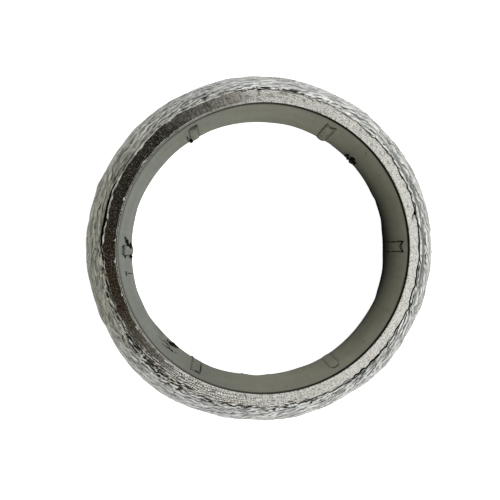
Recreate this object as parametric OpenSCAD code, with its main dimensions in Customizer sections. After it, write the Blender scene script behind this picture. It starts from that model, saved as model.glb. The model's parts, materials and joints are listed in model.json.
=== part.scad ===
// Exhaust sealing ring. A ring of pressed wire mesh and graphite carries a rounded sealing
// face, under a wrap of crumpled mesh that stops short of the bare conical nose. A thin steel
// sleeve lines the bore, and its lanced ribs centre the ring on the pipe.
// The ring lies on its flat back face with the nose up, its axis on Z. Millimetres.

/* [Pipe] */
// Outside diameter of the pipe that the ring slides on
pipe_d = 54; // [40:0.5:70]
// Radial clearance between the pipe and the sleeve's wall
pipe_clearance = 0.275; // [0.25:0.005:0.4]

/* [Sleeve] */
// Thickness of the sleeve's sheet steel
sleeve_t = 0.25; // [0.2:0.05:0.6]
// Depth of the sleeve's front edge below the nose
sleeve_recess = 0.3; // [0:0.1:1]
// Radial clearance between the sleeve and the mesh pressed round it
sleeve_fit = 0; // [0:0.01:0.05]

/* [Ribs] */
// Number of ribs round the sleeve
rib_count = 6; // [3:1:12]
// Width of a rib where it leaves the wall
rib_w = 1.9; // [1.4:0.1:3]
// Height of a rib above the sleeve's wall
rib_h = 0.22; // [0.12:0.01:0.22]
// Length of a rib, from the back edge to its lanced front end
rib_len = 11.5; // [6:0.5:12.5]

/* [Ring] */
// Width of the ring along its axis
ring_w = 15; // [14:0.5:16]
// Thickness of mesh between the sleeve and the largest diameter
ring_wall = 8.975; // [8:0.025:10]
// Depth of the sealing sphere's centre behind the back face
sphere_drop = 5; // [3:0.5:8]
// Radius of the shoulder between the sealing sphere and the nose
shoulder_r = 9; // [6:0.5:10]

/* [Nose] */
// Angle of the bare nose to the axis
nose_angle = 43; // [40:1:45]
// Width of the flat land between the sleeve and the nose
nose_land = 0.25; // [0.1:0.05:0.6]
// Depth of the bare nose, from the front edge to the edge of the wrap
nose_depth = 2.9; // [2:0.1:3.4]

/* [Wrap] */
// Thickness of the mesh wrap
wrap_t = 0.4; // [0.3:0.05:0.6]
// Radius of the wrap's back edge
back_round = 0.25; // [0.1:0.05:0.25]

/* [Hidden] */
$fn = 180;
over = 1;
// Radii from the pipe outwards
bore_r = pipe_d / 2 + pipe_clearance;
sleeve_r = bore_r + sleeve_t;
core_bore_r = sleeve_r + sleeve_fit;
sleeve_w = ring_w - sleeve_recess;
ring_r = core_bore_r + ring_wall;
// The rib is an arc of its own circle, as wide as rib_w at the wall
rib_arc_r = (rib_w * rib_w / 4 + rib_h * rib_h) / (2 * rib_h);
rib_axis_r = bore_r - rib_h + rib_arc_r;
// Sealing sphere and nose, as profile curves in radius and height
sphere_c = [0, -sphere_drop];
sphere_r = sqrt(ring_r * ring_r + sphere_drop * sphere_drop);
nose_dir = [cos(nose_angle), sin(nose_angle)];
nose_foot = [core_bore_r + nose_land, ring_w];
// Edge of the wrap, where it lies on the nose of the core
wrap_edge = nose_foot + nose_depth * [tan(nose_angle), -1];
// The shoulder touches the sphere and the wrap's nose from inside
shoulder_up = nose_dir * (nose_foot - sphere_c) + wrap_t - shoulder_r;
shoulder_out = sqrt(pow(sphere_r - shoulder_r, 2) - pow(shoulder_up, 2));
shoulder_c = sphere_c + shoulder_up * nose_dir + shoulder_out * [nose_dir[1], -nose_dir[0]];
shoulder_angle = atan2(shoulder_c[1] + sphere_drop, shoulder_c[0]);
// The wrap's back edge is a round that touches the sphere and the back face
back_out = sqrt(pow(sphere_r - back_round, 2) - pow(sphere_drop + back_round, 2));
back_c = [back_out, back_round];
back_angle = atan2(sphere_drop + back_round, back_out);

// Points of an arc about c from one angle to another, without its first point
function arc(c, r, from, to, n) =
  [for (i = [1 : n]) let (a = from + (to - from) * i / n) c + r * [cos(a), sin(a)]];

// Skin from the nose over the shoulder and the sphere down to an angle, moved inwards by inset
function skin(inset, end) =
  concat(
    [shoulder_c + (shoulder_r - inset) * nose_dir],
    arc(shoulder_c, shoulder_r - inset, nose_angle, shoulder_angle, 10),
    arc(sphere_c, sphere_r - inset, shoulder_angle, end, 10)
  );

function reversed(points) = [for (i = [len(points) - 1 : -1 : 0]) points[i]];

// Skin between the core and the wrap, down to the back face
under_skin = skin(wrap_t, asin(sphere_drop / (sphere_r - wrap_t)));

// Pressed mesh and graphite: bare at the nose, flat at the back
module mesh_core()
  color("dimgray")
    rotate_extrude()
      polygon(concat(
        [[core_bore_r, 0], [core_bore_r, ring_w], nose_foot],
        under_skin
      ));

// Wrap of knitted mesh over the shoulder and the sealing sphere
module outer_wrap()
  color("silver")
    rotate_extrude()
      polygon(concat(
        [wrap_edge, wrap_edge + wrap_t * nose_dir],
        skin(0, back_angle),
        arc(back_c, back_round, back_angle, -90, 4),
        reversed(under_skin)
      ));

// One rib's round bar along the wall, r its radius
module rib_bar(r, h) translate([rib_axis_r, 0, 0]) cylinder(r = r, h = h);

// Sheet steel sleeve: each rib is pressed inwards and leaves its hollow behind it
module inner_sleeve()
  color("gray")
    difference() {
      union() {
        difference() {
          cylinder(r = sleeve_r, h = sleeve_w);
          translate([0, 0, -over]) cylinder(r = bore_r, h = sleeve_w + 2 * over);
        }
        for (i = [0 : rib_count - 1])
          rotate(i * 360 / rib_count)
            intersection() {
              rib_bar(rib_arc_r, rib_len);
              cylinder(r = bore_r + sleeve_t / 2, h = rib_len);
            }
      }
      for (i = [0 : rib_count - 1])
        rotate(i * 360 / rib_count)
          translate([0, 0, -over]) rib_bar(rib_arc_r - sleeve_t, rib_len + over);
    }

mesh_core();
outer_wrap();
inner_sleeve();
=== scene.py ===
import json
import math
import bpy
import numpy as np
from mathutils import Matrix, Vector


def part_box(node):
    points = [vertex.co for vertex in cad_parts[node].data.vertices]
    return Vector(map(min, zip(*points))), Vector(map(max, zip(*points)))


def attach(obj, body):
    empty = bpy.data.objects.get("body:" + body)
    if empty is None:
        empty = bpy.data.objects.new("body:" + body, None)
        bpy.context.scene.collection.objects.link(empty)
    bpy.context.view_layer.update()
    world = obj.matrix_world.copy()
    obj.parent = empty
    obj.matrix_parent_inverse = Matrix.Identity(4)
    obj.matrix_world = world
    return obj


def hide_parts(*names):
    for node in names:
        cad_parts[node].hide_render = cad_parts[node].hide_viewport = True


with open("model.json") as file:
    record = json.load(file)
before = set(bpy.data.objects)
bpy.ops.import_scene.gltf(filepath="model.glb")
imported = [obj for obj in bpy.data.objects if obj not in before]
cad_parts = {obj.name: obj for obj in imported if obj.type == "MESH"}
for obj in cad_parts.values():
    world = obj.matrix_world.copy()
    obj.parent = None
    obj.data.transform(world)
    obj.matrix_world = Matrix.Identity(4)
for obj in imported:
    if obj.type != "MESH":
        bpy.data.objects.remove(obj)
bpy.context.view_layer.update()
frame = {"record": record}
mm = 0.001

# section of the ring, in mm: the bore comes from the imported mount, the outer sizes from the nodes
boreMount = [m for m in frame["record"]["mounts"] if m["name"] == "pipe_bore"][0]
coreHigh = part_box("mesh_core")[1]
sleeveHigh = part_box("inner_sleeve")[1]
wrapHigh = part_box("outer_wrap")[1]
ringSection = {
    "boreRadius": boreMount["dims"]["r_mm"],
    "sleeveRadius": sleeveHigh[0] / mm,
    "sleeveHeight": sleeveHigh[2] / mm,
    "ringHeight": coreHigh[2] / mm,
    "outerRadius": wrapHigh[0] / mm,
    "noseAngle": 43.0,
    "noseLand": 0.25,
    "noseDepth": 2.9,
    "shoulderRadius": 9.0,
    "sphereDrop": 5.0,
    "boxShort": 0.04,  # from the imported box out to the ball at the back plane
    "skinSteps": (60, 60, 90),  # points along the nose, the shoulder and the ball
    "wrapThick": 0.4,
    # how far the front of the bore is pinched in, degree and mm
    "pinch": [
        (0, -0.05), (60, 0.0), (90, 0.08), (110, 0.25), (125, 0.3), (145, 0.25), (165, 0.15), (185, 0.0),
        (220, 0.0), (240, 0.05), (260, 0.18), (280, 0.2), (300, 0.1), (330, 0.0),
    ],
}
columnCount = 960
layRadius = 33.0  # mm, circle on which noise and patterns are laid out
girth = 2 * math.pi * layRadius
noiseStart = 20.0  # mm before zero at which the noise lattice starts


# value noise closed round the ring: random heights on a lattice, blended by a quintic weight
def ringNoise(turn, reach, cell, seed):
    cellsRound = max(3, int(round(girth / cell[0])))
    x = np.mod(turn, 1.0) * cellsRound
    y = np.maximum(reach, -noiseStart) / cell[1] + noiseStart / cell[1]
    rows = int(np.max(y)) + 3
    lattice = np.random.default_rng(seed).random((rows, cellsRound))
    x0 = np.floor(x).astype(int)
    y0 = np.floor(y).astype(int)
    fx = x - x0
    fy = y - y0
    fx = fx ** 3 * (fx * (fx * 6 - 15) + 10)
    fy = fy ** 3 * (fy * (fy * 6 - 15) + 10)
    x1 = (x0 + 1) % cellsRound
    x0 = x0 % cellsRound
    low = lattice[y0, x0] * (1 - fx) + lattice[y0, x1] * fx
    high = lattice[y0 + 1, x0] * (1 - fx) + lattice[y0 + 1, x1] * fx
    return low * (1 - fy) + high * fy


# straight runs between (degree, value) pairs, closed round the ring, as one row
def bySector(degrees, pairs):
    pairs = sorted((p[0] % 360.0, p[1]) for p in pairs)
    at = [p[0] for p in pairs]
    values = [p[1] for p in pairs]
    return np.interp(np.mod(degrees, 360.0), at, values, period=360.0)[None, :]


# distance in mm to the half level line of a noise field, from its value and its slope over the grid
def lineDistance(field, reach, columnStep):
    alongSlope = np.gradient(field, axis=0) / np.maximum(np.gradient(reach, axis=0), 1e-4)
    roundSlope = (np.roll(field, -1, 1) - np.roll(field, 1, 1)) / (2 * columnStep)
    return np.abs(field - 0.5) / (np.hypot(alongSlope, roundSlope) + 0.02)


def smoothStep(low, high, value):
    t = np.clip((value - low) / (high - low), 0.0, 1.0)
    return t * t * (3 - 2 * t)


# bell round one angle: exp of minus the squared share of its half width
def bell(degrees, centre, half):
    away = np.mod(degrees - centre + 180.0, 360.0) - 180.0
    return np.exp(-(away / half) ** 2)


# core skin from the foot of the nose to the back: straight nose, shoulder arc that touches it, ball arc
def coreSkin():
    c = ringSection
    tilt = math.radians(c["noseAngle"])
    along = np.array([math.sin(tilt), -math.cos(tilt)])
    out = np.array([math.cos(tilt), math.sin(tilt)])
    foot = np.array([c["sleeveRadius"] + c["noseLand"], c["ringHeight"]])
    ballCentre = np.array([0.0, -c["sphereDrop"]])
    ballRadius = math.hypot(c["outerRadius"] + c["boxShort"], c["sphereDrop"])
    inner = c["shoulderRadius"] - c["wrapThick"]
    start = foot - inner * out
    gap = start - ballCentre
    half = float(gap @ along)
    reach = -half + math.sqrt(half ** 2 - float(gap @ gap) + (ballRadius - c["shoulderRadius"]) ** 2)
    centre = start + reach * along
    lean = math.atan2(centre[1] - ballCentre[1], centre[0] - ballCentre[0])
    coreBall = ballRadius - c["wrapThick"]
    backLean = math.asin(c["sphereDrop"] / coreBall)
    noseSteps, bendSteps, ballSteps = c["skinSteps"]
    noseLine = foot + np.linspace(0, reach, noseSteps)[:, None] * along
    bend = np.linspace(math.atan2(out[1], out[0]), lean, bendSteps)
    bendOut = np.stack([np.cos(bend), np.sin(bend)], 1)
    shoulder = centre + inner * bendOut
    ball = np.linspace(lean, backLean, ballSteps)
    ballOut = np.stack([np.cos(ball), np.sin(ball)], 1)
    ballLine = ballCentre + coreBall * ballOut
    points = np.concatenate([noseLine, shoulder[1:], ballLine[1:]])
    normals = np.concatenate([np.repeat(out[None], len(noseLine), 0), bendOut[1:], ballOut[1:]])
    length = np.concatenate([[0.0], np.cumsum(np.hypot(*np.diff(points, axis=0).T))])
    return points, normals, length


skinPoints, skinNormals, skinLength = coreSkin()
skinEnd = float(skinLength[-1])
borderReach = ringSection["noseDepth"] / math.cos(math.radians(ringSection["noseAngle"]))
print("section ready: skin", round(skinEnd, 2), "mm, border at", round(borderReach, 2), "mm")


# a point of the skin at a distance along it, lifted along the skin's own normal
def onSkin(reach, lift):
    def along(values):
        return np.interp(reach, skinLength, values)

    r = along(skinPoints[:, 0]) + lift * along(skinNormals[:, 0])
    z = along(skinPoints[:, 1]) + lift * along(skinNormals[:, 1])
    return r, z


# mesh of a closed section carried round the axis: rows run up the outside, in over the top and down the bore
def ringMesh(name, radius, height, degrees, fields, smoothAngle):
    rows, cols = radius.shape
    angle = np.radians(degrees)[None, :]
    x = radius * np.cos(angle)
    y = radius * np.sin(angle)
    points = np.stack([x, y, np.broadcast_to(height, radius.shape)], -1) * mm
    i, j = np.meshgrid(np.arange(rows), np.arange(cols), indexing="ij")
    ni, nj = (i + 1) % rows, (j + 1) % cols
    quads = np.stack([i * cols + j, i * cols + nj, ni * cols + nj, ni * cols + j], -1).reshape(-1, 4)
    mesh = bpy.data.meshes.new(name)
    mesh.vertices.add(rows * cols)
    mesh.vertices.foreach_set("co", points.reshape(-1))
    mesh.loops.add(quads.size)
    mesh.loops.foreach_set("vertex_index", quads.reshape(-1).astype(np.int32))
    mesh.polygons.add(len(quads))
    mesh.polygons.foreach_set("loop_start", np.arange(0, quads.size, 4, dtype=np.int32))
    mesh.polygons.foreach_set("use_smooth", np.ones(len(quads), dtype=bool))
    mesh.update(calc_edges=True)
    for key, values in fields.items():
        kind, member = ("FLOAT_VECTOR", "vector") if values.ndim == 3 else ("FLOAT", "value")
        layer = mesh.attributes.new(key, kind, "POINT")
        layer.data.foreach_set(member, values.astype(np.float32).reshape(-1))
    if smoothAngle:
        mesh.set_sharp_from_angle(angle=math.radians(smoothAngle))
    mesh.validate()
    piece = bpy.data.objects.new(name, mesh)
    bpy.context.scene.collection.objects.link(piece)
    print(name, "made:", len(quads) * 2, "triangles")
    return piece


# coordinates that follow the ring: the lay circle for the way round, and the distance along the section
def layField(degrees, reach):
    angle = np.radians(degrees)[None, :] + 0 * reach
    return np.stack([layRadius * np.cos(angle), layRadius * np.sin(angle), reach], -1)


def addNode(tree, kind, values=None, **settings):
    node = tree.nodes.new(kind)
    for key, value in settings.items():
        setattr(node, key, value)
    for key, value in (values or {}).items():
        if isinstance(value, bpy.types.NodeSocket):
            tree.links.new(value, node.inputs[key])
        else:
            node.inputs[key].default_value = value
    return node


def addMath(tree, operation, a, b=0.0, c=0.0):
    node = addNode(tree, "ShaderNodeMath", {0: a, 1: b, 2: c}, operation=operation)
    return node.outputs[0]


def addProduct(tree, *values):
    product = values[0]
    for value in values[1:]:
        product = addMath(tree, "MULTIPLY", product, value)
    return product


def addRange(tree, value, low, high, toLow=0.0, toHigh=1.0):
    node = addNode(
        tree, "ShaderNodeMapRange", {0: value, 1: low, 2: high, 3: toLow, 4: toHigh},
        interpolation_type="SMOOTHSTEP"
    )
    return node.outputs[0]


def addBlend(tree, share, a, b, kind="MIX"):
    node = addNode(tree, "ShaderNodeMix", data_type="RGBA", blend_type=kind)
    for socket, value in ((node.inputs[0], share), (node.inputs[6], a), (node.inputs[7], b)):
        if isinstance(value, bpy.types.NodeSocket):
            tree.links.new(value, socket)
        else:
            socket.default_value = value
    return node.outputs[2]


def addField(tree, name, vector=False):
    node = addNode(tree, "ShaderNodeAttribute", attribute_name=name)
    return node.outputs["Vector" if vector else "Fac"]


# noise on the ring's own coordinates, stretched by a Mapping node
def addGrain(tree, vector, scale, detail=2.0, rough=0.5):
    placed = addNode(tree, "ShaderNodeMapping", {"Vector": vector, "Scale": scale})
    grain = addNode(
        tree, "ShaderNodeTexNoise",
        {"Vector": placed.outputs[0], "Scale": 1.0, "Detail": detail, "Roughness": rough}
    )
    return grain.outputs["Fac"]


# angle round the ring and distance along its section
def addPlace(tree, lay):
    parts = addNode(tree, "ShaderNodeSeparateXYZ", {0: lay})
    return addMath(tree, "ARCTAN2", parts.outputs[1], parts.outputs[0]), parts.outputs[2]


def newFinish(name):
    finish = bpy.data.materials.new(name)
    finish.use_nodes = True
    tree = finish.node_tree
    return finish, tree, tree.nodes["Principled BSDF"]


degreesRound = np.arange(columnCount) * 360.0 / columnCount
turnRound = degreesRound[None, :] / 360.0
columnStep = girth / columnCount


# a list by sector on the columns that the core and the wrap share
def aroundRing(pairs):
    return bySector(degreesRound, pairs)


# border of nose and wrap, by degree round the ring: 0 is the photograph's right, 90 its top
borderLine = {
    "wander": [(8.0, 0.6, 11), (2.6, 0.55, 12), (0.9, 0.5, 13)],  # cell in mm, swing in mm, seed
    "ragged": [
        (0, 0.9), (20, 1.2), (45, 1.4), (70, 1.2), (110, 0.9), (130, 0.4), (150, 0.35), (180, 0.5),
        (190, 1.0), (215, 1.0), (250, 1.1), (285, 1.4), (310, 1.7), (335, 1.4), (350, 0.9),
    ],
    "shift": [
        (0, 0.0), (45, 0.0), (70, 0.1), (100, 0.3), (125, 0.35), (140, 0.15), (151, 0.35), (158, 1.0),
        (179, 1.05), (184, 0.45), (192, 0.55), (200, 0.5), (214, 0.25), (224, 0.65), (232, 0.5),
        (242, 0.25), (256, 0.25), (275, 0.4), (300, 0.1), (320, 0.0),
    ],
    "crackWidth": [
        (0, 0.38), (28, 0.34), (40, 0.3), (56, 0.26), (68, 0.22), (76, 0.08), (100, 0.06), (125, 0.08),
        (148, 0.12), (154, 0.45), (160, 0.72), (178, 0.78), (184, 0.5), (194, 0.45), (204, 0.3),
        (210, 0.35), (216, 0.15), (226, 0.2), (234, 0.15), (250, 0.10), (275, 0.10), (296, 0.2),
        (304, 0.42), (310, 0.55), (318, 0.5), (324, 0.3), (335, 0.3),
    ],
    # share of the crack that is unbroken
    "whole": [
        (0, 1.0), (28, 0.9), (40, 0.6), (56, 0.45), (68, 0.4), (76, 0.0), (100, 0.0), (140, 0.1),
        (156, 0.9), (178, 1.0), (184, 0.2), (196, 0.1), (222, 0.0), (250, 0.0), (285, 0.1), (300, 0.5),
        (306, 0.8), (325, 0.8), (340, 1.0),
    ],
    "chaos": [
        (0, 0.06), (45, 0.15), (62, 0.3), (76, 0.45), (98, 0.45), (112, 0.35), (126, 0.3), (135, 0.2),
        (160, 0.08), (178, 0.2), (184, 0.4), (192, 0.3), (205, 0.35), (214, 0.8), (222, 1.5), (236, 1.5),
        (248, 1.15), (262, 0.85), (280, 0.7), (300, 0.3), (330, 0.1),
    ],
    # degree, half width in degrees, reach and half reach in mm
    "holes": [
        (78.7, 2.0, 4.6, 0.5), (75.6, 1.1, 4.3, 0.35), (88.5, 1.5, 4.6, 0.26), (91.0, 0.8, 4.2, 0.2),
        (96.7, 0.8, 4.1, 0.28), (102.9, 1.8, 4.9, 0.22), (110.5, 1.6, 4.7, 0.2), (186.5, 0.8, 4.6, 0.4),
        (196.0, 1.0, 4.7, 0.36), (225.0, 2.4, 5.1, 0.2), (227.5, 1.6, 4.5, 0.16), (230.5, 2.2, 5.5, 0.18),
        (236.5, 0.7, 1.6, 0.3), (247.0, 2.0, 5.5, 0.18), (250.5, 1.2, 4.9, 0.15), (261.0, 1.7, 5.1, 0.2),
        (264.5, 1.2, 6.1, 0.18), (268.6, 1.3, 4.7, 0.15), (277.3, 2.0, 3.8, 0.15), (285.8, 1.3, 4.2, 0.15),
        (288.5, 1.8, 4.7, 0.18), (298.4, 1.6, 4.1, 0.2), (301.2, 2.2, 4.3, 0.36), (304.0, 2.0, 4.4, 0.5),
        (306.6, 1.8, 4.25, 0.42), (308.4, 0.8, 3.6, 0.32), (309.5, 1.3, 4.5, 0.3), (312.7, 1.3, 3.9, 0.28),
        (315.9, 1.5, 3.85, 0.28), (320.8, 0.8, 3.7, 0.32), (13.0, 0.7, 4.0, 0.4), (12.4, 0.6, 3.4, 0.42),
        (11.8, 0.6, 2.85, 0.4), (11.2, 0.6, 2.45, 0.36), (10.5, 0.7, 2.3, 0.28),
    ],
}
wanderSum = 0 * turnRound
for cell, swing, seed in borderLine["wander"]:
    wanderSum = wanderSum + swing * (ringNoise(turnRound, 0 * turnRound, (cell, 1.0), seed) - 0.5)
borderAt = borderReach + wanderSum * aroundRing(borderLine["ragged"]) + aroundRing(borderLine["shift"])
crackBreak = smoothStep(0.45, 0.62, ringNoise(turnRound, 0 * turnRound, (3.2, 1.0), 21))
crackBreak = np.maximum(crackBreak, aroundRing(borderLine["whole"]))
crackSwell = 0.65 + 0.7 * ringNoise(turnRound, 0 * turnRound, (1.3, 1.0), 22)
crackWidth = aroundRing(borderLine["crackWidth"]) * crackBreak * crackSwell
lipAt = borderAt - crackWidth  # inner side of the crack
chaosRound = aroundRing(borderLine["chaos"])


# torn holes of the border: a flattened bell at each listed place, its rim broken by noise
def tornHoles(turn, reach):
    jag = 0.9 * (ringNoise(turn, reach, (0.8, 0.35), 23) - 0.5)
    hole = 0 * reach
    for degree, half, at, halfReach in borderLine["holes"]:
        away = np.mod(degreesRound - degree + 180.0, 360.0) - 180.0
        share = np.hypot((away / half)[None, :], (reach - at) / halfReach) + jag * min(1.0, half / 1.2)
        hole = np.maximum(hole, smoothStep(1.1, 0.75, share))
    return hole


# loose flakes near the border: ridged noise, highest on the border and fading over 1.6 mm
def looseFlakes(turn, reach):
    sway = ringNoise(turn, reach, (2.4, 1.2), 24) - 0.5
    field = (
        ringNoise(turn, reach + 1.6 * sway, (1.15, 0.5), 25) * 0.6
        + ringNoise(turn, reach - 0.8 * sway, (0.6, 0.36), 26) * 0.4
    )
    torn = np.maximum(chaosRound - 0.9, 0)
    near = np.exp(-((reach - borderAt - 0.2 + 1.2 * torn) / (0.95 + 1.2 * torn)) ** 2)
    return (field - 0.5) * near * chaosRound, near


# nose and pressed core
noseCore = {
    "noseRows": 72,
    "backRows": 18,
    "backRadius": 36.0,
    "grainHeight": 0.04,
    "underWrap": 0.45,  # mm that the core lies lower beneath the wrap
    "striaShare": [(0, 0.15), (70, 0.7), (130, 1.0), (165, 0.4), (230, 0.4), (300, 0.15)],
    # sectors of the dark film: partly graphite film, partly painted shade of the left side
    "filmAndPaintedLight": [
        (0, 0.0), (55, 0.0), (86, 0.0), (91, 0.02), (95, 0.15), (100, 0.30), (105, 0.43), (110, 0.55),
        (115, 0.57), (120, 0.63), (125, 0.69), (130, 0.78), (140, 0.9), (150, 1.0), (180, 1.0),
        (190, 0.94), (200, 0.82), (206, 0.6), (211, 0.5), (220, 0.48), (227, 0.4), (231, 0.21),
        (235, 0.02), (246, 0.0), (310, 0.0),
    ],
    # painted highlight on the foot of the nose, strongest on the left where its inner edge faces the lamp
    "footHighlight": [
        (0, 0.0), (88, 0.0), (100, 0.5), (120, 0.7), (145, 0.7), (185, 0.7), (215, 0.5), (230, 0.2),
        (250, 0.0),
    ],
    "rust": [
        (0, 0.0), (90, 0.1), (110, 0.1), (122, 0.1), (140, 0.1), (165, 0.3), (180, 0.65), (195, 1.0),
        (205, 1.0), (218, 0.8), (232, 0.3), (260, 0.1),
    ],
    "lipHeight": [
        (0, 0.0), (60, 0.02), (100, 0.08), (114, 0.18), (150, 0.2), (160, 0.2), (178, 0.2), (186, 0.12),
        (212, 0.12), (232, 0.12), (250, 0.05), (300, 0.0),
    ],
    "lipWidth": [
        (0, 0.4), (108, 0.8), (116, 1.15), (146, 1.05), (150, 0.8), (158, 0.75), (178, 0.75), (186, 0.45),
        (240, 0.5),
    ],
    # degree, half width in degrees, height in mm
    "burrs": [
        (144.5, 3.0, 0.05), (160.0, 0.8, 0.10), (176.2, 0.45, 0.20), (184.0, 0.6, 0.22),
        (197.0, 0.8, 0.10), (211.0, 0.9, 0.10), (228.0, 1.2, 0.12),
    ],
    # painted shade of the step between the nose and the sleeve rim, darkest on the right, away from the lamp
    "seamShadeShare": [
        (0, 1.0), (60, 1.0), (90, 0.85), (120, 0.6), (150, 0.5), (180, 0.5), (192, 0.55), (215, 0.6),
        (270, 0.85), (300, 1.0),
    ],
    "dotShare": [
        (0, 0.25), (60, 0.3), (95, 0.35), (130, 0.3), (190, 0.45), (218, 1.2), (230, 1.7), (246, 1.4),
        (260, 0.55), (285, 0.28), (300, 0.22), (330, 0.15),
    ],
    # colours of the dark film, partly graphite and partly painted shade
    "filmShadeColour": (0.006, 0.005, 0.003, 1),
    "filmShadeSpeckColour": (0.25, 0.236, 0.165, 1),
    "thinFilmShadeColour": (0.205, 0.192, 0.160, 1),
    "oliveFilmShadeColour": (0.085, 0.076, 0.048, 1),
    "greyFilmShadeColour": (0.009, 0.0088, 0.006, 1),
    "rustColour": (0.168, 0.088, 0.046, 1),
    "paleColour": (0.642, 0.636, 0.586, 1),
    "speckColour": (0.17, 0.165, 0.135, 1),
    # colour of the painted highlight on the foot, its burrs and the lip
    "edgeHighlightColour": (0.82, 0.80, 0.74, 1),
    "striaColour": (0.69, 0.685, 0.63, 1),
    "saltColour": (0.19, 0.185, 0.155, 1),
    # wire dots: painted shade between the wires and a painted highlight on them
    "dotShadeAndHighlightColours": ((0.055, 0.052, 0.04, 1), (0.92, 0.90, 0.82, 1)),  # between the wires, and on them
    "greyStriaColour": (0.28, 0.29, 0.235, 1),
    "pitColour": (0.04, 0.037, 0.028, 1),
    # colour of the painted highlight on lifted flakes
    "flakeHighlightColour": (0.84, 0.81, 0.72, 1),
    # colour of painted shade in cracks, holes and gaps
    "creviceShadeColour": (0.012, 0.011, 0.009, 1),
}


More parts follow.
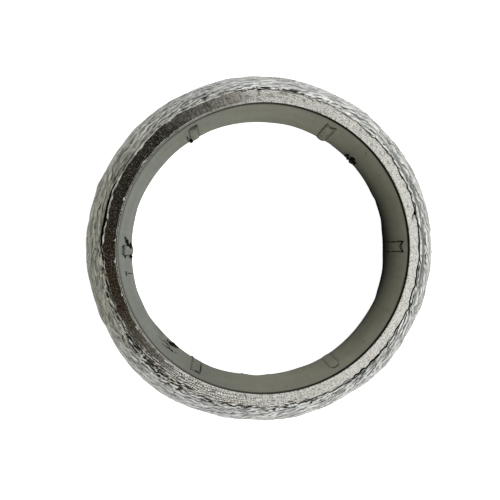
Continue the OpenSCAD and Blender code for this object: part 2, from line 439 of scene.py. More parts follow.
def makeCore():
    c = noseCore
    s = ringSection
    reach = np.linspace(borderReach + 1.7, 0.0, c["noseRows"])[:, None] + 0 * turnRound
    turn = turnRound + 0 * reach
    # grain of pressed wire: fine specks, and striae that run down the nose
    speck = ringNoise(turn, reach, (0.45, 0.34), 34) + 0.6 * ringNoise(turn, reach, (0.9, 0.8), 35) - 0.8
    stria = ringNoise(turn, reach, (0.45, 2.2), 36) - 0.5
    striaShare = aroundRing(c["striaShare"])
    grain = 0.9 * speck + 1.2 * stria * striaShare
    lift = c["grainHeight"] * grain
    flakes, near = looseFlakes(turn, reach)
    lift = lift + 0.42 * flakes
    # lip: a thin beaded ridge along the crack, then the core drops away under the wrap
    beads = 0.05 + 1.25 * ringNoise(turn, 0 * turn, (0.9, 1.0), 37)
    lipTall = aroundRing(c["lipHeight"]) * beads
    lipWide = (0.14 + 0.26 * ringNoise(turn, 0 * turn, (1.1, 1.0), 39)) * aroundRing(c["lipWidth"])
    lip = lipTall * np.exp(-((reach - lipAt + 0.95 * lipWide) / lipWide) ** 4)
    lift = lift + lip
    drop = smoothStep(-0.02, 0.09, reach - lipAt)
    hole = tornHoles(turn, reach)
    lift = (
        lift * (1 - drop) - c["underWrap"] * drop * smoothStep(0.0, 0.12, crackWidth)
        - 0.3 * hole * (1 - drop)
    )
    lift = np.where(reach > borderAt + 0.05, np.minimum(lift, -c["underWrap"]), lift)
    # the foot of the nose is a thin bright edge with a few burrs
    burr = 0 * reach
    footNear = np.exp(-((reach - 0.1) / 0.55) ** 2)
    jag = 0.6 * (ringNoise(turn, reach, (0.5, 0.25), 38) - 0.5)
    for degree, half, tall in c["burrs"]:
        spot = smoothStep(0.35, 0.8, bell(degreesRound, degree, half)[None, :] * footNear + jag)
        burr = np.maximum(burr, spot * (tall / 0.1))
    lift = lift * (1 - 0.8 * np.exp(-reach / 0.12)) + 0.07 * np.minimum(burr, 1.6)
    r, z = onSkin(reach, lift)
    pinch = aroundRing(s["pinch"])
    r = r - pinch * smoothStep(2.2, 0.0, reach)
    z = np.minimum(z, s["ringHeight"])
    # film, partly graphite film and partly painted shade on the side away from the lamp: dark over the
    # sectors that the photograph shows dark, its strength broken up by noise
    filmAndShadeBase = aroundRing(c["filmAndPaintedLight"])
    patch = 0.1 * (ringNoise(turn, reach, (4, 1.6), 41) - 0.5)
    patch = patch + 0.14 * (ringNoise(turn, reach, (0.7, 0.5), 42) - 0.5) + 0.14 * stria * striaShare
    filmAndPaintedLight = np.clip(filmAndShadeBase + patch * 4.0 * filmAndShadeBase * (1.05 - filmAndShadeBase), 0, 1)
    filmAndPaintedLight = filmAndPaintedLight * (1 - np.exp(-(reach / 0.05) ** 4)) * (1 - np.clip(burr, 0, 0.9))
    filmAndPaintedLight = filmAndPaintedLight * (1 - 0.9 * np.clip(lip / 0.07, 0, 1))
    # lifted flakes lose the film: painted highlight where they catch the light
    flakeHighlight = smoothStep(0.07, 0.2, flakes)
    filmAndPaintedLight = filmAndPaintedLight * (1 - 0.8 * flakeHighlight)
    # below zero the film field is a painted highlight: the foot, its burrs and the lip catching the light
    footWide = 0.03 + 0.14 * ringNoise(turn, 0 * turn, (0.7, 1.0), 43) ** 2
    edgeHighlight = np.exp(-(reach / footWide) ** 4) * (0.15 + 0.9 * ringNoise(turn, 0 * turn, (1.6, 1.0), 45))
    shineBreak = smoothStep(0.3, 0.6, ringNoise(turn, reach, (0.9, 0.25), 44))
    lipShine = smoothStep(0.15, 0.7, lip / 0.14) * shineBreak
    edgeHighlight = np.clip(np.maximum(np.maximum(edgeHighlight, 0.8 * np.clip(burr, 0, 1)), 0.65 * lipShine), 0, 1)
    filmAndPaintedLight = filmAndPaintedLight * (1 - edgeHighlight) - edgeHighlight * aroundRing(c["footHighlight"]) * (1 - drop)
    # painted shade in the crack, in torn holes and between loose flakes
    pits = np.maximum(drop * smoothStep(0.02, 0.1, crackWidth), hole)
    creviceShade = np.clip(pits + 0.85 * smoothStep(0.13, 0.18, -flakes), 0, 1)
    # hidden run under the wrap, land, bore wall and back face
    hiddenReach = np.linspace(skinEnd - 0.02, borderReach + 1.9, 6)[:, None] + 0 * turnRound
    hr, hz = onSkin(hiddenReach, -c["underWrap"])
    hz = np.maximum(hz, 0.0)
    landR = np.array([0.75, 0.35, 0.0])[:, None] * s["noseLand"] + s["sleeveRadius"] - pinch
    landZ = s["ringHeight"] - np.array([0.0, 0.0, 0.04])[:, None] + 0 * turnRound
    boreR = s["sleeveRadius"] + 0.005 - np.array([1.0, 1.0, 0.0, 0.0, 0.0])[:, None] * pinch
    top = s["ringHeight"]
    boreZ = np.array([top - 0.12, top - 0.4, 10.0, 4.0, 0.25])[:, None] + 0 * turnRound
    backR = np.linspace(s["sleeveRadius"] + 0.12, c["backRadius"], c["backRows"])[:, None] + 0 * turnRound
    backTurn = turnRound + 0 * backR
    backLump = ringNoise(backTurn, backR, (1.4, 0.9), 51) * 0.6
    backLump = backLump + ringNoise(backTurn, backR, (5, 1.1), 52) * 0.6
    backZ = 0.16 * np.clip(backLump - 0.35, 0, 1)
    backZ[0] = 0.12
    radius = np.concatenate([hr, r, landR, boreR, backR])
    height = np.concatenate([hz, z, landZ, boreZ, backZ])
    allReach = np.concatenate([hiddenReach, reach, -0.1 + 0 * landR, -1.0 - (s["ringHeight"] - boreZ), backR])
    backFilm = np.clip(0.3 + 1.0 * (ringNoise(backTurn, backR, (6, 1.2), 53) - 0.4), 0, 1)
    # painted shade at the seam step by sector; the bore rows hidden behind the sleeve are dark
    seamShadeRound = aroundRing(c["seamShadeShare"])
    boreShade = np.maximum(seamShadeRound, np.array([0, 0, 1.0, 1.0, 1.0])[:, None])
    tear = np.clip(chaosRound * near, 0, 1) * smoothStep(0.1, 0.5, reach)

    # one field over all rows, from its value on each run of the section
    def allRows(*values):
        runs = (hiddenReach, reach, landR, boreR, backR)
        return np.concatenate([value + 0 * run for value, run in zip(values, runs)])

    fields = {
        "filmAndPaintedLight": allRows(0, filmAndPaintedLight, filmAndShadeBase * np.array([1.0, 1.0, -0.2])[:, None], 0, backFilm),
        "rust": allRows(0, aroundRing(c["rust"]), 0, 0, 0.25),
        # painted shade: under the wrap, in the crack and holes, at the seam step and in hollows of the back
        # face
        "creviceShade": allRows(1, creviceShade, 0, boreShade, np.clip(2.5 * (backLump - 0.75), 0, 1)),
        "grain": allRows(0, np.clip(0.5 + 0.6 * grain, 0, 1), 0.7, 0.5, np.clip(1.2 - backLump, 0, 1)),
        "dots": allRows(0, aroundRing(c["dotShare"]), 0, 0, 0.6),
        "tear": allRows(0, tear, 0, 0, 0),
        "lay": layField(degreesRound, allReach),
    }
    return ringMesh("meshCore", radius, height, degreesRound, fields, 0)


corePiece = makeCore()

# wrap: knitted skin pressed flat over the core
wrapSkin = {
    "rows": 94,
    "lump": 0.18,
    "fold": 0.24,
    "wrinkle": 0.10,
    "lift": [
        (0, 0.05), (50, 0.05), (75, 0.04), (100, 0.05), (125, 0.08), (150, 0.06), (168, 0.05), (190, 0.12),
        (205, 0.15), (240, 0.18), (265, 0.12), (300, 0.08), (330, 0.05),
    ],
    "dashShare": [
        (0, 0.10), (45, 0.15), (70, 0.15), (100, 0.2), (118, 0.4), (140, 0.2), (180, 0.1), (205, 0.45),
        (235, 0.5), (275, 0.6), (305, 0.5), (330, 0.25),
    ],
    "bandShare": [
        (0, 1.0), (26, 1.0), (36, 0.6), (50, 0.2), (62, 0.0), (180, 0.0), (290, 0.0), (302, 0.6),
        (318, 0.55), (332, 0.4), (345, 0.8), (352, 1.0),
    ],
    "bandClean": [(0, 0.9), (28, 0.9), (42, 0.5), (60, 0.2), (300, 0.1), (335, 0.2), (348, 0.9)],
    "lineShare": [
        (0, 1.0), (28, 1.0), (42, 0.95), (56, 0.75), (98, 0.6), (112, 1.0), (140, 0.95), (165, 0.9),
        (190, 0.95), (215, 1.0), (245, 0.95), (285, 0.9), (310, 1.0), (335, 1.0),
    ],
    "featherShare": [
        (0, 0.9), (40, 1.0), (60, 0.8), (90, 0.5), (120, 0.3), (180, 0.15), (230, 0.3), (270, 0.8),
        (300, 1.0), (330, 1.0),
    ],
    # share left on the ball
    "lineFar": [
        (0, 1.0), (60, 0.9), (100, 0.9), (140, 0.8), (180, 0.7), (212, 0.6), (240, 0.45), (275, 0.55),
        (300, 0.9),
    ],
    "flowSlope": [
        (0, 0.42), (50, 0.45), (80, 0.6), (110, 0.6), (145, 0.42), (215, 0.42), (250, 0.58), (290, 0.62),
        (340, 0.6), (352, 0.46),
    ],
    "curlShare": [
        (0, 0.2), (45, 0.35), (62, 0.55), (90, 0.7), (110, 1.0), (132, 0.9), (150, 0.4), (180, 0.2),
        (205, 0.5), (225, 0.9), (270, 0.9), (300, 0.85), (330, 0.7),
    ],
    # painted shade near the border, by sector
    "nearShade": [
        (0, 0.3), (30, 0.3), (45, 0.3), (60, 0.2), (95, 0.05), (110, 0.95), (126, 1.0), (150, 0.25),
        (180, 0.35), (210, 0.55), (240, 0.9), (270, 0.65), (300, 0.6), (330, 0.45),
    ],
    "tanShare": [(0, 0.0), (115, 0.0), (135, 0.6), (160, 1.0), (200, 1.0), (222, 0.4), (240, 0.0)],
    # dents and swells of the ball, degree and mm
    "outline": [
        (0, 0.0), (4, 0.1), (6, 0.33), (9, 0.12), (15, 0.14), (22, 0.0), (29, 0.19), (36, 0.1), (43, 0.0),
        (50, 0.15), (52, 0.27), (55, 0.1), (64, 0.03), (78, 0.05), (84, 0.04), (89, -0.2), (94, -0.08),
        (101, 0.0), (107, -0.13), (118, -0.15), (121, -0.06), (134, -0.32), (138, -0.15), (142, -0.22),
        (152, -0.18), (156, -0.02), (158, 0.2), (163, 0.04), (170, 0.06), (176, 0.24), (180, 0.07),
        (184, 0.22), (188, -0.02), (198, -0.14), (202, 0.04), (207, -0.12), (212, 0.0), (222, 0.28),
        (232, 0.44), (240, 0.4), (243, 0.18), (250, -0.05), (258, -0.08), (266, -0.2), (274, -0.1),
        (279, 0.05), (286, -0.12), (292, -0.16), (298, -0.34), (303, -0.26), (309, -0.06), (316, 0.12),
        (320, -0.02), (324, 0.06), (328, -0.18), (335, -0.12), (340, 0.18), (346, -0.02), (354, 0.14),
        (356.5, 0.08), (358, 0.28),
    ],
    "edgeThick": 0.12,
    "coarse": [
        (0, 0.7), (60, 0.9), (110, 0.8), (150, 0.45), (200, 0.45), (240, 0.8), (285, 0.7), (300, 0.5),
        (340, 0.5),
    ],
    # painted light and shade by side: brighter albedo at the top and bottom, darker on the right and left
    "sideLightTone": [
        (0, 0.34), (30, 0.44), (48, 0.85), (62, 1.3), (95, 1.3), (108, 0.75), (122, 0.42), (140, 0.35),
        (180, 0.30), (210, 0.42), (226, 0.8), (236, 1.1), (252, 1.25), (275, 1.3), (300, 0.95),
        (330, 0.36),
    ],
    "loopsRound": 150,
    "loopRows": 2.0,
    "paleColour": (0.70, 0.715, 0.688, 1),
    "greyColour": (0.25, 0.247, 0.218, 1),
    "threadColour": (0.15, 0.146, 0.12, 1),
    # colour of the painted highlight on plate rims
    "rimHighlightColour": (0.84, 0.855, 0.825, 1),
    "leftTint": (0.80, 0.785, 0.68, 1),
    # colour of the painted shade in the sunken band
    "bandShadeColour": (0.108, 0.118, 0.102, 1),
    # colour of painted shade in slots, creases and gaps
    "creviceShadeColour": (0.020, 0.020, 0.016, 1),
    # colour of the painted shade under plate edges
    "edgeShadeColour": (0.014, 0.0145, 0.012, 1),
    # colour of the painted shade between knitted wires
    "knitGapShadeColour": (0.075, 0.075, 0.065, 1),
    # colour of the painted highlight on lifted flakes and plate rims
    "flakeHighlightColour": (0.86, 0.87, 0.83, 1),
}


def makeWrap():
    c = wrapSkin
    s = ringSection
    share = np.linspace(0, 1, c["rows"])[:, None] ** 1.06
    reach = borderAt + share * (skinEnd - borderAt)
    past = reach - borderAt
    turn = turnRound + 0 * reach
    slope = aroundRing(c["flowSlope"])
    # noise cells grow taller on the ball
    flow = borderAt + np.where(past < 1.5, past, 1.5 + slope * (past - 1.5))
    sway = ringNoise(turn, flow, (7, 3.0), 61) - 0.5
    swayFine = ringNoise(turn, flow, (2.2, 1.0), 62) - 0.5
    lumps = ringNoise(turn, reach, (11, 5), 63) - 0.5
    # plates and wrinkles: folded noise, long round the ring and short across it, bent by slower noise
    plateNoise = ringNoise(turn, flow + 1.9 * sway + 0.5 * swayFine, (6.5, 1.35), 64)
    fineNoise = ringNoise(turn + 0.004 * sway, flow + 1.1 * sway + 0.6 * swayFine, (3.0, 0.70), 65)
    fibreNoise = ringNoise(turn, flow + 0.5 * sway, (4.0, 0.44), 66)
    plate = np.abs(2 * plateNoise - 1)
    plateFine = np.abs(2 * fineNoise - 1)
    fibre = np.abs(2 * fibreNoise - 1)
    coarse = aroundRing(c["coarse"])
    crumple = c["fold"] * (plate - 0.5) * coarse + c["wrinkle"] * (plateFine - 0.5) + 0.06 * (fibre - 0.5)
    keep = smoothStep(0.35, 0.6, ringNoise(turn, flow, (3.5, 0.9), 73))
    keepFine = smoothStep(0.4, 0.65, ringNoise(turn, flow, (2.2, 0.5), 74))

    # 1 on the half level line of a noise, fading over a width in mm
    def foldLine(noise, width):
        return np.exp(-(lineDistance(noise, reach, columnStep) / width) ** 2)

    crease = foldLine(plateNoise, 0.15) * keep * coarse
    crease = np.maximum(crease, 0.85 * foldLine(fineNoise, 0.13) * keepFine)
    crease = np.maximum(crease, 0.45 * foldLine(fibreNoise, 0.09) * (1.2 - 0.7 * coarse))
    crumple = crumple - 0.11 * crease
    # torn slots near the border: long thin pits where noise passes a level
    dashNoise = (
        ringNoise(turn, reach + 0.9 * sway, (1.6, 0.42), 67) * 0.65
        + ringNoise(turn, reach, (0.8, 0.32), 68) * 0.35
    )
    dashWeight = aroundRing(c["dashShare"]) * np.exp(-(past / 1.6) ** 2) + 0.16
    slots = smoothStep(0.0, 0.07, dashNoise - (0.9 - 0.34 * dashWeight))
    slots = np.maximum(slots, tornHoles(turn, reach))
    flakes, near = looseFlakes(turn, reach)
    # shallow band beside the right border, where the skin sinks between two plates, painted dark as shade
    bandEdge = 0.3 * sway + 0.15 * swayFine
    bandGrain = 0.75 + 0.5 * ringNoise(turn, reach, (3.2, 0.5), 69)
    band = aroundRing(c["bandShare"]) * np.exp(-((past - 1.3 - bandEdge) / 0.62) ** 4) * bandGrain
    # edge: the sheet thins to its border and lifts there in places
    liftNoise = (
        smoothStep(0.42, 0.8, ringNoise(turn, 0 * turn, (4.2, 1.0), 71)) * 0.8
        + smoothStep(0.5, 0.9, ringNoise(turn, 0 * turn, (1.3, 1.0), 72)) * 0.5
    )
    edgeLift = aroundRing(c["lift"]) * liftNoise
    nearEdge = np.exp(-(past / 0.75) ** 2)
    body = s["wrapThick"] * (1 - 0.8 * nearEdge) + (edgeLift + c["edgeThick"] * 0.3) * nearEdge
    fade = smoothStep(0.0, 0.4, past) * smoothStep(0.0, 1.2, skinEnd - reach)
    swell = aroundRing(c["outline"]) * smoothStep(3.0, 7.0, past) * smoothStep(0.3, 4.0, skinEnd - reach)
    lift = body + swell + (crumple + c["lump"] * lumps) * fade
    lift = lift - 0.3 * slots * fade - 0.10 * band + 0.45 * flakes
    lift = np.maximum(lift, 0.03)
    r, z = onSkin(reach, lift)
    # the back edge is rounded in and stops on the back plane
    z = np.clip(z, 0.03, s["ringHeight"])
    r = np.minimum(r, s["outerRadius"] - 0.01)
    innerReach = borderAt + np.array([0.05, 0.8, 4.0, 9.0])[:, None]
    innerReach = np.concatenate([innerReach, 0 * turnRound + skinEnd - 0.1])
    tucked = np.array([0.0, 0.1, 0.2, 0.2, 0.2])[:, None]
    innerLift = np.array([1.0, 0.25, 0, 0, 0])[:, None] * edgeLift[:1] * 0.9 - tucked
    ir, iz = onSkin(innerReach, innerLift)
    iz = np.maximum(iz, 0.05)
    # rows run from the back up the outside to the border, then back down the inside
    radius = np.concatenate([r[::-1], ir])
    height = np.concatenate([z[::-1], iz])
    lines = aroundRing(c["lineShare"])
    lines = lines * (1 + (aroundRing(c["lineFar"]) - 1) * smoothStep(1.5, 4.5, past))
    # painted shade along the creases, in the slots and between flakes
    creaseShade = 0.4 * lines * crease * (0.5 + 0.7 * np.exp(-past / 5.0))
    creviceShade = np.clip(slots + creaseShade + 0.9 * smoothStep(0.13, 0.18, -flakes), 0, 1)
    # painted light on the crests and painted shade in the hollows
    crest = np.clip(0.5 + crumple / 0.22 + 2.2 * flakes, 0, 1)
    # painted light and shade by side, and painted shade near the border
    sideLightTone = aroundRing(c["sideLightTone"])
    sideLightTone = sideLightTone * (1 - aroundRing(c["nearShade"]) * smoothStep(3.0, 0.5, past))
    bandRound = np.clip(aroundRing(c["bandShare"]), 0, 1)
    # a painted highlight strip between the crack and the band
    sideLightTone = sideLightTone + 0.6 * bandRound * np.exp(-((past - 0.3) / 0.25) ** 2)
    feathers = aroundRing(c["featherShare"]) * (0.5 + 0.8 * np.exp(-(past / 2.4) ** 2))
    feathers = np.clip(feathers * (1 - aroundRing(c["bandClean"]) * np.clip(band, 0, 1)), 0, 1)

    # one field over all rows: the outside from the back up to the border, then the inside
    def skinRows(outside, inside=0.0):
        return np.concatenate([(outside + 0 * reach)[::-1], inside + 0 * innerReach])

    fields = {
        # painted shade in slots, creases and between flakes, and under the lifted edge on the inside
        "creviceShade": skinRows(creviceShade, np.array([0.0, 0.8, 0.8, 0.8, 0.8])[:, None]),
        "crest": skinRows(crest),
        "band": skinRows(np.clip(band, 0, 1)),
        "lines": skinRows(lines),
        "curls": skinRows(aroundRing(c["curlShare"])),
        "feathers": skinRows(feathers),
        "tear": skinRows(np.clip(chaosRound * near, 0, 1)),
        "sideLightTone": skinRows(sideLightTone),
        "tan": skinRows(aroundRing(c["tanShare"])),
        "lay": layField(degreesRound, skinRows(flow, innerReach)),
        "knit": skinRows(smoothStep(2.2, 5.5, past)),
    }
    return ringMesh("outerWrap", radius, height, degreesRound, fields, 0)


wrapPiece = makeWrap()

# sleeve: thin rolled steel with six lanced ribs, listed from the right round by the top
boreSleeve = {
    "ribDegrees": [0, 60, 120, 180, 240, 300],
    "ribShift": [0.2, 0.2, -0.4, 0.0, 0.0, 1.0],  # degrees
    "ribWidth": 1.9,
    "denseHalf": 1.6,  # mm to each side of a rib's middle where columns lie close
    "denseColumns": 82,
    "looseColumns": 70,
    "levels": (34, 52, 8),  # rows below the rib ends, across them and above
    "ribLength": [11.5, 11.3, 10.6, 9.3, 11.0, 10.8],
    "endBow": [1.3, 1.0, 0.5, 0.5, 0.6, -2.0],  # hollow front ends, or round where below zero
    "ribSpeck": [0.35, 0.35, 0.2, 0.2, 0.2, 0.0],
    "frontHeight": [0.3, 0.28, 0.3, 0.28, 0.14, 0.15],
    "backHeight": [0.0, 0.3, 0.3, 0.36, 0.06, 0.05],
    "pocketLength": [0.35, 0.4, 1.5, 3.6, 0.3, 0.5],
    "pocketDepth": [0.2, 0.16, 0.2, 0.2, 0.08, 0.1],
    "rootDepth": [0.16, 0.1, 0.06, 0.07, 0.05, 0.06],
    "lineDark": [1.0, 0.6, 0.5, 0.65, 0.5, 0.55],
    # painted shade towards the back edge on the right side of the bore
    "backShadeShare": [
        (0, 1.0), (20, 0.9), (40, 0.55), (65, 0.12), (90, 0.0), (270, 0.0), (295, 0.12), (320, 0.42),
        (342, 0.85),
    ],
    # painted shade of the rim below the nose's step, darkest on the right, away from the lamp
    "seamShadeShare": [
        (0, 1.0), (60, 1.0), (90, 0.85), (120, 0.6), (150, 0.45), (180, 0.45), (192, 0.5), (215, 0.6),
        (240, 0.65), (270, 0.85), (300, 1.0),
    ],
    "warmShare": [
        (0, 1.0), (50, 1.0), (90, 0.7), (125, 0.4), (150, 0.1), (180, 0.0), (215, 0.05), (245, 0.45),
        (270, 0.75), (305, 1.0),
    ],
    "coolColour": (0.235, 0.249, 0.222, 1),
    "warmColour": (0.37, 0.366, 0.287, 1),
    "shadeRound": [
        (0, 1.0), (90, 0.92), (125, 0.85), (150, 1.0), (215, 1.0), (242, 0.72), (270, 0.88), (300, 1.0),
    ],
    "drawnShare": 0.18,
    # how far the back edge leans in, mm
    "backEdge": [
        (0, 0.48), (8, 0.42), (13, 0.15), (20, 0.13), (22, 0.03), (25, 0.2), (32, 0.13), (52, 0.08),
        (56, 0.0), (60, 0.13), (70, 0.04), (76, 0.02), (84, 0.14), (112, 0.04), (116, 0.12), (128, 0.04),
        (138, 0.13), (148, 0.1), (160, -0.02), (166, 0.1), (180, 0.14), (188, 0.06), (198, -0.17),
        (203, -0.08), (211, -0.19), (217, 0.02), (226, 0.14), (240, 0.1), (248, 0.03), (256, 0.16),
        (262, 0.28), (268, 0.1), (272, 0.24), (288, 0.3), (293, 0.18), (312, 0.15), (326, 0.12),
        (336, -0.06), (340, 0.13), (350, 0.2), (357, 0.48),
    ],
    "darkColour": (0.010, 0.010, 0.007, 1),
    "smearStretch": 1.21,  # the lay circle over the bore
    "smearDeep": 9.0,  # mm
    # smears and scratches: degree, height, half length round, half length up, lean, strength
    "smears": [
        (225.6, 2.6, 1.0, 0.9, 0, 1.0), (224.2, 5.2, 0.7, 0.55, 0, 0.95), (226.9, 7.1, 0.95, 0.6, 0, 1.0),
        (223.9, 8.4, 0.65, 0.35, 0, 0.85), (228.0, 1.0, 0.8, 1.0, 0, 1.0), (229.9, 5.9, 0.3, 0.35, 0, 0.8),
        (221.0, 6.6, 0.8, 0.3, 0, 0.6), (218.4, 1.5, 1.3, 0.3, 0, 0.6), (219.6, 3.2, 0.8, 0.25, 0, 0.5),
        (189.6, 8.7, 0.34, 0.8, 0, 0.9), (189.9, 5.0, 0.12, 3.6, 4, 0.7), (176.9, 4.6, 0.62, 2.6, 20, 1.0),
        (175.8, 7.4, 0.30, 1.6, 30, 1.0), (177.6, 0.8, 0.45, 1.6, 0, 1.0), (182.6, 7.8, 0.30, 1.0, 0, 1.0),
        (182.7, 1.2, 0.34, 1.8, 0, 1.0), (183.8, 0.6, 0.28, 0.9, 0, 0.9), (42.3, 11.7, 0.18, 0.3, 0, 0.8),
        (352.4, 7.0, 0.12, 0.2, 0, 0.6), (344.0, 5.8, 0.14, 0.24, 0, 0.6), (122.2, 0.9, 0.5, 1.3, 0, 1.0),
        (123.0, 3.6, 0.16, 2.4, 0, 0.8), (118.4, 9.6, 0.22, 1.0, 30, 0.7),
        (240.9, 10.2, 0.5, 0.5, 20, 0.9), (242.3, 6.0, 0.14, 3.4, 0, 0.9), (239.0, 4.0, 0.2, 0.4, 0, 0.6),
        (60.5, 6.0, 0.1, 0.5, 20, 0.5), (58.6, 7.6, 0.07, 0.9, 60, 0.5), (287.0, 4.0, 0.14, 0.22, 0, 0.6),
        (256.0, 5.0, 0.12, 0.25, 0, 0.45), (283.0, 8.0, 0.12, 0.2, 0, 0.4),
    ],
}


def sleeveColumns():
    c = boreSleeve
    dense = np.linspace(-c["denseHalf"], c["denseHalf"], c["denseColumns"])
    step = math.degrees(1.0 / ringSection["boreRadius"])
    loose = np.linspace(c["denseHalf"], 60.0 / step - c["denseHalf"], c["looseColumns"])[1:-1]
    one = np.concatenate([dense, loose]) * step
    return np.concatenate([one + d for d in c["ribDegrees"]])


def makeSleeve():
    c = boreSleeve
    s = ringSection
    degrees = sleeveColumns()
    turn = np.mod(degrees, 360.0)[None, :] / 360.0
    top = s["sleeveHeight"]
    low, middle, high = c["levels"]
    runs = [np.linspace(0.12, 9.0, low), np.linspace(9.0, 13.2, middle)]
    runs.append(np.linspace(13.2, top - 0.08, high))
    levels = np.unique(np.concatenate(runs))[::-1][:, None]
    which = np.mod(np.round(degrees / 60.0).astype(int), 6)

    # a list by rib, as one row over the columns
    def each(key):
        return np.array(c[key])[which][None, :]

    away = np.mod(degrees[None, :] + 30.0, 60.0) - 30.0 - each("ribShift")
    across = np.radians(away) * s["boreRadius"]
    half = c["ribWidth"] / 2
    wobble = 0.10 * (ringNoise(turn + 0 * levels, levels, (0.9, 1.4), 82) - 0.5)
    side = np.abs(across + wobble)
    # rib: a low arc across, cut off at its front end, with a lanced pocket and root lines beside it
    arc = np.clip(1 - (side / half) ** 2, 0, 1) ** 0.5
    bulge = 1 - np.sqrt(np.clip(1 - (side / half) ** 2, 0, 1))
    curve = np.where(each("endBow") < 0, bulge, (side / half) ** 2 - 0.6)
    endAt = each("ribLength") + each("endBow") * curve
    tall = each("backHeight") + (each("frontHeight") - each("backHeight")) * smoothStep(2.0, 11.0, levels)
    onRib = smoothStep(0.0, 0.07, endAt - levels) * (side < half)
    pocketShape = np.clip(1 - (side / (half * 0.98)) ** 2.6, 0, 1) ** 0.6
    pocketEnd = endAt + each("pocketLength") * pocketShape
    inPocket = smoothStep(0.0, 0.05, levels - endAt) * smoothStep(0.0, 0.09, pocketEnd - levels)
    inPocket = inPocket * (side < half)
    cornerAt = each("ribLength") + each("endBow") * np.where(each("endBow") < 0, 1.0, 0.4)
    ear = smoothStep(0.0, 0.12, cornerAt + 0.1 - levels)
    root = np.exp(-((side - half - 0.08) / 0.10) ** 2) * ear
    rise = (
        tall * arc * onRib - each("pocketDepth") * inPocket
        - each("rootDepth") * root * smoothStep(0.2, 2.5, levels)
    )
    ribGrain = 0.05 * (ringNoise(turn + 0 * levels, levels, (0.6, 0.9), 83) - 0.5) * onRib
    pinch = bySector(degrees, s["pinch"])
    ripple = 0.02 * (ringNoise(turn + 0 * levels, levels, (9, 8), 81) - 0.5)
    # the back edge is turned in a little
    rise = rise + bySector(degrees, c["backEdge"]) * smoothStep(3.0, 0.3, levels)
    rise = rise + pinch * smoothStep(8.0, top, levels)
    r = np.minimum(s["boreRadius"] - rise + ripple + ribGrain, s["sleeveRadius"] - 0.02)
    z = levels + 0 * r
    # rim at the front and back edge: the wall's two corners are eased by a short arc
    thick = s["sleeveRadius"] - s["boreRadius"]
    ease = np.array([[0.6, 0.0], [0.2, 0.01], [0.05, 0.05]])
    rimTopR = s["boreRadius"] + thick * ease[:, :1] * 1.4 - pinch
    rimTopZ = top - ease[:, 1:] + 0 * turn
    outerR = s["sleeveRadius"] - 0.004 - np.array([0.0, 0.0, 1.0])[:, None] * np.maximum(pinch, 0)
    outerZ = np.array([0.15, 7.0, top - 0.04])[:, None] + 0 * turn
    rimLowR = np.stack([r[-1] + 0.05, r[-1] + 0.16])
    rimLowZ = np.array([0.02, 0.0])[:, None] + 0 * turn
    radius = np.minimum(np.concatenate([outerR, rimTopR, r, rimLowR]), s["sleeveRadius"])
    height = np.concatenate([outerZ, rimTopZ, z, rimLowZ])
    # painted shade: root lines, rib ends, pocket outlines, the rims and the back on one side; and specks
    # painted shade in the corners beside the ribs, under the lifted rib ends and at the pocket ends
    lineSide = np.exp(-((side - half - 0.06) / 0.17) ** 2) * ear
    lineFront = np.exp(-((levels - endAt - 0.1) / 0.32) ** 2) * (side < half + 0.05)
    linePocket = (
        0.6 * np.exp(-((levels - pocketEnd) / 0.4) ** 2) * (side < half)
        * smoothStep(0.6, 1.4, each("pocketLength"))
    )
    lineBreak = 0.55 + 0.6 * ringNoise(turn + 0 * levels, levels, (0.9, 0.7), 84)
    shadeAndMarks = lineSide * each("lineDark") + lineFront * np.minimum(1.0, each("lineDark") + 0.2) + linePocket
    shadeAndMarks = np.clip(shadeAndMarks * lineBreak, 0, 1)
    # painted shade towards the back on the right side, strongest at the back edge
    backShadeFade = 0.55 * np.exp(-levels / 1.6) + 0.75 * np.clip(1 - levels / 14.0, 0, 1)
    backShade = bySector(degrees, c["backShadeShare"]) * backShadeFade
    specks = smoothStep(0.5, 0.75, ringNoise(turn + 0 * levels, levels, (0.5, 0.9), 85))
    shadeAndMarks = np.maximum(shadeAndMarks, each("ribSpeck") * specks * onRib)
    shadeAndMarks = np.maximum(shadeAndMarks, np.clip(backShade, 0, 0.95))
    # painted shade along the back edge, where the bore meets the floor
    shadeAndMarks = np.maximum(shadeAndMarks, np.exp(-((levels - 0.12) / 0.2) ** 2) * 0.7 + 0 * shadeAndMarks)
    # painted shade on the front rim and at the seam step
    seamShade = bySector(degrees, c["seamShadeShare"])
    shadeAndMarks = np.maximum(shadeAndMarks, seamShade * np.exp(-((levels - top) / 0.32) ** 2))
    rimShade = seamShade * np.array([1.0, 1.0, 0.85])[:, None]
    fields = {
        "warm": np.repeat(bySector(degrees, c["warmShare"]), len(radius), 0),
        "shade": np.repeat(bySector(degrees, c["shadeRound"]), len(radius), 0),
        "shadeAndMarks": np.concatenate([0 * outerR + 0.4, rimShade, shadeAndMarks, 0 * rimLowR + 0.85]),
        "lay": layField(degrees, height),
    }
    return ringMesh("boreSleeve", radius, height, degrees, fields, 40)


sleevePiece = makeSleeve()

# graphite crumbs that cling to the bore's back edge: degree, height, size round, size up, size out, in mm
graphiteCrumbs = {
    "places": [
        (46.4, 1.5, 0.34, 1.0, 0.26), (45.1, 0.9, 0.3, 0.6, 0.22), (43.0, 1.7, 0.6, 1.5, 0.36),
        (41.7, 1.6, 0.36, 1.1, 0.26), (121.9, 0.35, 0.42, 0.30, 0.30), (177.9, 0.5, 0.34, 0.45, 0.18),
        (182.8, 0.6, 0.32, 0.55, 0.18), (262.2, 0.3, 0.80, 0.28, 0.22), (273.4, 0.25, 0.6, 0.24, 0.15),
        (237.4, 0.4, 0.34, 0.3, 0.16), (226.9, 0.9, 0.55, 0.6, 0.16),
    ],
    "sunk": 0.12,  # mm from the bore wall in to the middle of a crumb
    "rings": 10,
    "around": 16,
    "colour": (0.004, 0.0038, 0.003, 1),
    "sparkleColour": (0.02, 0.019, 0.017, 1),
}


